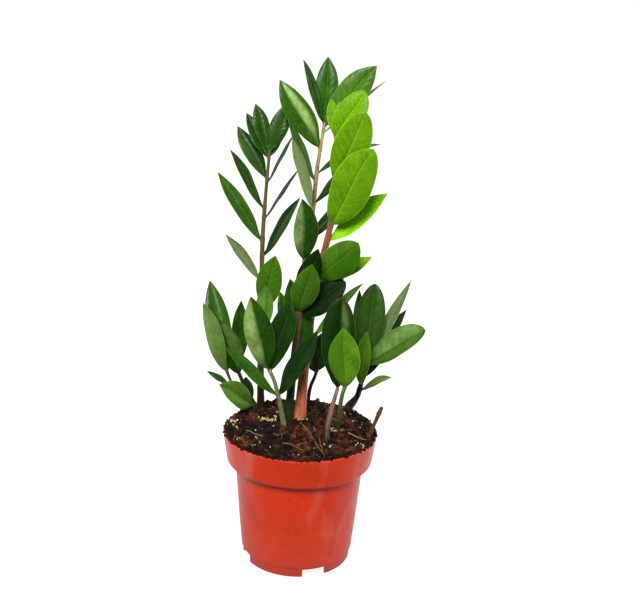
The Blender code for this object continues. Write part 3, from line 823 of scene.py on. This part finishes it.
def build_blade(name, solid, root, seed, tone, sheen_and_shade=(0, 0, 0.5)):
    """One blade from its measures: a flat sheet of squares bent to shape and then given thickness.
    Root is the point inside the stem that the stalk grows from. The last argument is how much painted
    sheen, a pale reflection painted into the colour, lies on its left half and its right half, and how
    far from the midrib it reaches. A share below zero is painted shade instead."""
    random.seed(seed)
    chord = solid["tip"] - solid["stalk"]
    length = chord.length
    along = chord.normalized()
    upper = (solid["upper"] - along * solid["upper"].dot(along)).normalized()
    across = upper.cross(along)
    half, rise, fold, blunt = solid["half"], solid["rise"], solid["fold"], solid["blunt"]
    blunt += 0.04
    round_base = 0.86 if blunt > 0.7 else 0.70
    peak = round_base / (round_base + blunt)
    widest = peak ** round_base * (1 - peak) ** blunt
    phase, side_phase = random.uniform(0, 6.28), random.uniform(0, 6.28)
    twist, sway = radians(random.uniform(-7, 7)), random.uniform(-0.03, 0.03)
    ruffle = random.uniform(0.02, 0.05)
    bpy.ops.object.select_all(action="DESELECT")
    bpy.ops.mesh.primitive_grid_add(x_subdivisions=BLADE_ALONG, y_subdivisions=BLADE_ACROSS, size=2,
                                    calc_uvs=True)
    blade = bpy.context.object
    blade.name = name
    mesh = blade.data
    mesh.uv_layers[0].name = "blade"
    flat = np.array([vertex.co for vertex in mesh.vertices])
    # Way runs from 0 at the stalk to 1 at the tip, and side from -1 at one edge to 1 at the other.
    way = 0.5 - 0.5 * np.cos(pi * (flat[:, 0] + 1) / 2)
    way = 0.35 * way + 0.65 * (flat[:, 0] + 1) / 2
    side = np.sin(flat[:, 1] * pi / 2) * 0.4 + flat[:, 1] * 0.6
    outline = way ** round_base * (1 - way) ** blunt / widest
    start = np.clip(way / 0.07, 0, 1)
    start = start * start * (3 - 2 * start)
    stub = 0.0009 / half
    drawn_out = np.clip((way - 0.78) / 0.22, 0, 1) ** 2 * (0.22 if blunt > 0.7 else 0.05)
    outline = outline * (0.25 + 0.75 * start) * (1 - drawn_out)
    outline = np.maximum(outline, stub * (1 - way) + 0.00015 / half * way)
    reach = half * outline
    wide = np.abs(side)
    belly = wide * (1 - wide) * 4
    body = np.clip(np.sin(pi * np.clip(way, 0, 1)), 0, 1) ** 0.6
    quilt = 0.00013 * np.sin(62 * (way - 0.20 * wide) + phase) * belly * body
    groove = -0.00035 * np.exp(-(wide * reach / 0.0008) ** 2) * body
    pillow = 0.085 * half * belly * body
    margin = ruffle * half * np.sin(4.5 * way * pi + side_phase + (side > 0) * 1.9) * wide ** 3 * body
    spin = twist * (way - 0.5)
    lean_out = fold * (0.75 + 0.5 * (1 - wide))
    lift = (rise * 4 * way * (1 - way) + wide * reach * np.sin(lean_out) + quilt + groove + pillow
            + margin + side * reach * np.sin(spin))
    aside = side * reach * np.cos(lean_out) + sway * length * np.sin(2 * pi * way) * 0.5
    base = np.array(solid["stalk"])
    shape = (base + np.outer(way * length, along) + np.outer(lift, upper) + np.outer(aside, across))
    grown = 1 - np.clip(way / 0.13, 0, 1)
    grown = grown * grown * (3 - 2 * grown)
    shape += np.outer(grown, np.array(root - solid["stalk"]))
    mesh.vertices.foreach_set("co", shape.ravel())
    # Painted sheen above zero and painted shade below zero, set per half, fading out past its reach
    # from the midrib, weaker near the stalk and gone at the tip.
    painted_left, painted_right, painted_reach = sheen_and_shade
    rightward = np.clip(side * (1 if across.x > 0 else -1) / 0.10 + 0.5, 0, 1)
    sheen_and_shade_share = painted_left + (painted_right - painted_left) * rightward
    sheen_and_shade_share = sheen_and_shade_share * np.clip((painted_reach * 1.25 - wide) / (painted_reach * 0.5), 0, 1)
    sheen_and_shade_share = sheen_and_shade_share * (0.35 + 0.65 * np.clip((way - 0.12) / 0.25, 0, 1)) * np.clip((1 - way) / 0.10, 0, 1)
    mesh.attributes.new("sheen_and_shade", "FLOAT", "POINT").data.foreach_set("value", sheen_and_shade_share)
    thick = blade.vertex_groups.new(name="thick")
    for vertex, share, place in zip(mesh.vertices, wide, way):
        fullness = 0.34 + 0.66 * (1 - share) ** 0.8
        fullness = max(fullness * (1 - 0.55 * place), 1 - place * 14)
        thick.add([vertex.index], min(1, max(0.2, fullness)), "REPLACE")
    mesh.update()
    if Vector(mesh.polygons[len(mesh.polygons) // 2].normal).dot(upper) < 0:
        bpy.ops.object.mode_set(mode="EDIT")
        bpy.ops.mesh.select_all(action="SELECT")
        bpy.ops.mesh.flip_normals()
        bpy.ops.object.mode_set(mode="OBJECT")
    for finish in leaf_finish(tone):
        mesh.materials.append(finish)
    shell = blade.modifiers.new("thickness", "SOLIDIFY")
    shell.thickness = 0.00115
    shell.offset = 0
    shell.vertex_group = "thick"
    shell.use_even_offset = False
    shell.material_offset = 1
    bpy.ops.object.modifier_apply(modifier=shell.name)
    bpy.ops.object.shade_smooth_by_angle(angle=radians(50))
    blade.vertex_groups.clear()
    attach(blade, "root")
    return blade


# Painted sheen, a pale reflection painted into a leaf half's colour, and painted shade where the share
# is below zero: the share on the left half, the share on the right half, and its reach.

PAINTED_SHEEN_AND_SHADE = {
    "leaf_tall_back_05": (0.0, 1.0, 0.60), "leaf_tall_back_10": (0.55, 0.0, 1.2),
    "leaf_front_01": (0.64, 0.0, 1.1), "leaf_right_dark_02": (0.46, 0.10, 1.0),
    "leaf_right_brown_01": (-0.7, 0.20, 0.6), "leaf_left_outer_02": (0.32, 0.22, 1.2),
    "leaf_left_inner_02": (-0.2, 0.20, 1.0), "leaf_right_dark_01": (0.05, 0.07, 0.9),
    "leaf_tall_left_01": (0.06, 0.0, 0.7), "leaf_tall_back_03": (0.08, 0.04, 1.2),
    "leaf_right_green_01": (-0.9, 0.0, 1.2), "leaf_lime_06": (0.05, -1.0, 1.2),
    "leaf_tall_left_04": (0.06, -0.8, 1.2), "leaf_lime_04": (0.0, -0.45, 1.2),
    "leaf_lime_03": (0.0, -0.40, 1.2), "leaf_tall_back_09": (0.0, -0.8, 1.2),
    "leaf_tall_left_09": (-0.5, 0.05, 1.2), "leaf_left_outer_01": (-0.7, 0.0, 1.2),
    "leaf_front_04": (-0.6, 0.0, 1.2), "leaf_front_02": (-0.3, 0.0, 1.2),
    "leaf_lime_05": (-1.0, 0.0, 1.2), "leaf_tall_back_12": (0.0, -0.4, 1.2),
    "leaf_left_inner_03": (0.12, 0.05, 0.8),
}
LEAF_LOOKS = {
    "tall_left": "dark dark dark dark dark dark deep green deep pale",
    "tall_back": "dark green mid olive green dark green deep pale dark inky mid inky",
    "lime": "lime lime lime lime glow grass yellow",
    "front": "dark deep green deep",
    "left_outer": "green olive",
    "left_inner": "dark dark bright",
    "right_brown": "deep",
    "right_green": "bright",
    "right_dark": "dark green pale deep olive",
    "centre_back": "deep",
}
count = 0
for name, tones in LEAF_LOOKS.items():
    stem_low, stem_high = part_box("stem_" + name)
    for node, tone in zip(leaf_nodes[name], tones.split()):
        solid = leaf_solid(node)
        level = min(max(solid["stalk"].z - 0.0012, stem_low[2] + 0.001), stem_high[2] - 0.0008)
        middle, thick = section("stem_" + name, level)
        outward = solid["stalk"] - middle
        outward.z = 0
        root = middle + outward.normalized() * thick * 0.35
        count += 1
        blade = build_blade(node + "_blade", solid, root, 100 + count, tone,
                            PAINTED_SHEEN_AND_SHADE.get(node, (0, 0, 0.5)))
        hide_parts(node)

# The small leaves: short ones, and ones that lie deep among the others, on the same stems. Each row
# gives the stem, height, bearing, lift, length, width and roll in millimetres and degrees, and tone.

SMALL_LEAVES = (
    ("tall_left", 304, 48, 57, 29, 10, 0, "dark"), ("tall_left", 187, 318, 76, 45, 20, 120, "mid"),
    ("tall_left", 167, 285, 72, 43, 14, -15, "mid"), ("tall_back", 181, 155, 83, 35, 13, -45, "dark"),
    ("tall_back", 167, 165, 75, 40, 13, -45, "green"), ("tall_back", 153, 20, 82, 42, 15, 90, "dark"),
    ("tall_back", 246, 32, 39, 57, 15, 15, "deep"), ("lime", 316, 85, 75, 31, 7, 5, "lime"),
    ("lime", 207, 20, 23, 21, 9, 30, "dark"), ("lime", 168, 20, 47, 57, 14, -55, "mid"),
    ("left_outer", 126, 180, 32, 21, 8, -15, "dark"),
    ("left_inner", 109, 145, 79, 21, 11, -70, "dark"),
    ("right_dark", 132, 110, 79, 69, 12, -10, "dark"),
    ("right_dark", 125, 275, 72, 53, 14, 140, "bright"),
    ("centre_back", 131, 155, 75, 30, 12, -35, "deep"),
)
for number, (name, height, bearing, lift, length, width, roll, tone) in enumerate(SMALL_LEAVES):
    middle, thick = section("stem_" + name, height / 1000)
    turn, climb = radians(bearing), radians(lift)
    level = Vector((cos(turn), sin(turn), 0))
    along = level * cos(climb) + Vector((0, 0, sin(climb)))
    upper = Vector((0, 0, cos(climb))) - level * sin(climb)
    upper.rotate(Matrix.Rotation(radians(roll), 3, along))
    stalk = middle + level * (thick + 0.0008)
    solid = {"stalk": stalk, "tip": stalk + along * length / 1000, "upper": upper,
             "half": width / 2000, "rise": 0.03 * length / 1000, "fold": radians(6), "blunt": 0.8}
    build_blade(f"small_leaf_{number + 1:02d}", solid, middle + level * thick * 0.35, 300 + number,
                tone)
